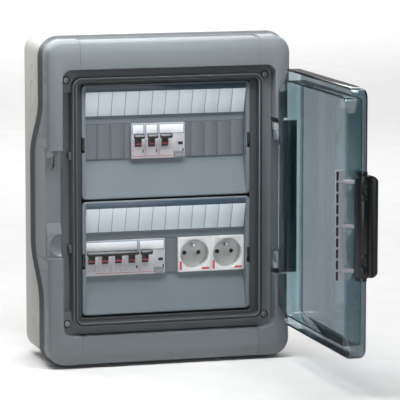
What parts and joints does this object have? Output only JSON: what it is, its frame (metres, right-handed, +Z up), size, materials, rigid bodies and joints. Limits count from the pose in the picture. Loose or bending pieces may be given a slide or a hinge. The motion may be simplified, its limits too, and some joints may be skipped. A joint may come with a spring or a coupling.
{
  "type": "distribution board with residual current devices",
  "caption": "Surface-mounted distribution board with a smoked hinged door over two rows of modular devices: residual current devices, breakers and earthed socket outlets.",
  "frame": {"origin": "middle of the wall fixing holes, in the plane of the wall behind the rear box", "axes": "+Z up, +X to the right as seen from the front, +Y into the wall, so the front looks along -Y"},
  "size_m": [0.3473, 0.4308, 0.4248],
  "materials": {
    "box_plastic": "fine satin",
    "cover_plastic": "fine satin",
    "faceplate_plastic": "fine satin",
    "light_plastic": "satin",
    "green_plastic": "satin",
    "grey_plastic": "satin",
    "blue_plastic": "satin",
    "lilac_plastic": "satin",
    "label_plastic": "satin gloss",
    "device_plastic": "semi-gloss",
    "white_plastic": "semi-gloss",
    "black_plastic": "gloss",
    "clear_plastic": "clear gloss",
    "smoked_plastic": "smoked gloss",
    "seal_rubber": "matte",
    "zinc_steel": "zinc plated",
    "screw_steel": "zinc plated",
    "contact_brass": "plain",
    "winding_copper": "enamelled copper winding"
  },
  "bodies": {
    "board": {"rear_box": "box_plastic", "box_seal": "seal_rubber", "front_cover": "cover_plastic", "cover_screws": "screw_steel", "door_seal": "seal_rubber", "hinge_bearings": "light_plastic", "latch_keepers": "light_plastic", "uprights": "light_plastic", "upper_rail": "zinc_steel", "lower_rail": "zinc_steel", "rail_screws": "screw_steel", "earth_bar_holder": "green_plastic", "earth_bar": "contact_brass", "upper_faceplate": "faceplate_plastic", "lower_faceplate": "faceplate_plastic", "upper_label_strip": "label_plastic", "lower_label_strip": "label_plastic", "upper_left_blank": "faceplate_plastic", "upper_right_blank": "faceplate_plastic", "lower_blank": "faceplate_plastic", "left_breaker": "device_plastic", "right_breaker": "device_plastic", "four_pole_breaker": "device_plastic", "upper_residual_case": "device_plastic", "upper_residual_side": "device_plastic", "upper_residual_core": "winding_copper", "upper_trip_relay": "blue_plastic", "lower_residual_case": "device_plastic", "lower_residual_side": "device_plastic", "lower_residual_core": "winding_copper", "lower_trip_relay": "blue_plastic", "device_label_covers": "clear_plastic", "terminal_screws": "screw_steel", "left_socket": "white_plastic", "right_socket": "white_plastic", "socket_contacts": "contact_brass", "earth_pins": "screw_steel"},
    "door": {"door": "smoked_plastic", "hinge_bar": "black_plastic", "hinge_pins": "screw_steel", "handle_pin": "screw_steel"},
    "handle": {"door_handle": "black_plastic", "latch_plate": "lilac_plastic"},
    "left_breaker_toggle": {"left_breaker_toggle": "black_plastic"},
    "right_breaker_toggle": {"right_breaker_toggle": "black_plastic"},
    "upper_residual_toggle": {"upper_residual_toggle": "black_plastic"},
    "four_pole_toggle": {"four_pole_toggle": "black_plastic"},
    "lower_residual_toggle": {"lower_residual_toggle": "black_plastic"},
    "upper_test_button": {"upper_test_button": "grey_plastic"},
    "lower_test_button": {"lower_test_button": "grey_plastic"},
    "upper_left_latch": {"upper_left_latch": "black_plastic"},
    "upper_right_latch": {"upper_right_latch": "black_plastic"},
    "lower_left_latch": {"lower_left_latch": "black_plastic"},
    "lower_right_latch": {"lower_right_latch": "black_plastic"},
    "left_breaker_clip": {"left_breaker_clip": "light_plastic"},
    "right_breaker_clip": {"right_breaker_clip": "light_plastic"},
    "four_pole_clip": {"four_pole_clip": "light_plastic"},
    "upper_residual_clip": {"upper_residual_clip": "light_plastic"},
    "lower_residual_clip": {"lower_residual_clip": "light_plastic"}
  },
  "joints": [
    {"name": "door_hinge", "type": "hinge", "parent": "board", "child": "door", "pos_m": [0.1479, -0.128, 0], "axis": [0, 0, 1], "range_deg": [-90, 15]},
    {"name": "handle_pivot", "type": "hinge", "parent": "door", "child": "handle", "pos_m": [0.1614, -0.4198, 0], "axis": [0, 0, 1], "range_deg": [0, 10], "stiffness_Nm_per_rad": 0.2},
    {"name": "left_breaker_toggle_pivot", "type": "hinge", "parent": "board", "child": "left_breaker_toggle", "pos_m": [-0.0355, -0.109, 0.0735], "axis": [1, 0, 0], "range_deg": [0, 70]},
    {"name": "right_breaker_toggle_pivot", "type": "hinge", "parent": "board", "child": "right_breaker_toggle", "pos_m": [-0.01775, -0.109, 0.0735], "axis": [1, 0, 0], "range_deg": [0, 70]},
    {"name": "upper_residual_toggle_pivot", "type": "hinge", "parent": "board", "child": "upper_residual_toggle", "pos_m": [0, -0.109, 0.0735], "axis": [1, 0, 0], "range_deg": [0, 70]},
    {"name": "four_pole_toggle_pivot", "type": "hinge", "parent": "board", "child": "four_pole_toggle", "pos_m": [-0.071, -0.109, -0.0765], "axis": [1, 0, 0], "range_deg": [0, 70]},
    {"name": "lower_residual_toggle_pivot", "type": "hinge", "parent": "board", "child": "lower_residual_toggle", "pos_m": [-0.02662, -0.109, -0.0765], "axis": [1, 0, 0], "range_deg": [0, 70]},
    {"name": "upper_test_button_travel", "type": "slide", "parent": "board", "child": "upper_test_button", "axis": [0, 1, 0], "range_m": [0, 0.002], "stiffness_N_per_m": 400},
    {"name": "lower_test_button_travel", "type": "slide", "parent": "board", "child": "lower_test_button", "axis": [0, 1, 0], "range_m": [0, 0.002], "stiffness_N_per_m": 400},
    {"name": "upper_left_latch_slide", "type": "slide", "parent": "board", "child": "upper_left_latch", "axis": [0, 0, -1], "range_m": [0, 0.004]},
    {"name": "upper_right_latch_slide", "type": "slide", "parent": "board", "child": "upper_right_latch", "axis": [0, 0, -1], "range_m": [0, 0.004]},
    {"name": "lower_left_latch_slide", "type": "slide", "parent": "board", "child": "lower_left_latch", "axis": [0, 0, -1], "range_m": [0, 0.004]},
    {"name": "lower_right_latch_slide", "type": "slide", "parent": "board", "child": "lower_right_latch", "axis": [0, 0, -1], "range_m": [0, 0.004]},
    {"name": "left_breaker_clip_slide", "type": "slide", "parent": "board", "child": "left_breaker_clip", "axis": [0, 0, -1], "range_m": [0, 0.004], "stiffness_N_per_m": 800},
    {"name": "right_breaker_clip_slide", "type": "slide", "parent": "board", "child": "right_breaker_clip", "axis": [0, 0, -1], "range_m": [0, 0.004], "stiffness_N_per_m": 800},
    {"name": "four_pole_clip_slide", "type": "slide", "parent": "board", "child": "four_pole_clip", "axis": [0, 0, -1], "range_m": [0, 0.004], "stiffness_N_per_m": 800},
    {"name": "upper_residual_clip_slide", "type": "slide", "parent": "board", "child": "upper_residual_clip", "axis": [0, 0, -1], "range_m": [0, 0.004], "stiffness_N_per_m": 800},
    {"name": "lower_residual_clip_slide", "type": "slide", "parent": "board", "child": "lower_residual_clip", "axis": [0, 0, -1], "range_m": [0, 0.004], "stiffness_N_per_m": 800}
  ]
}
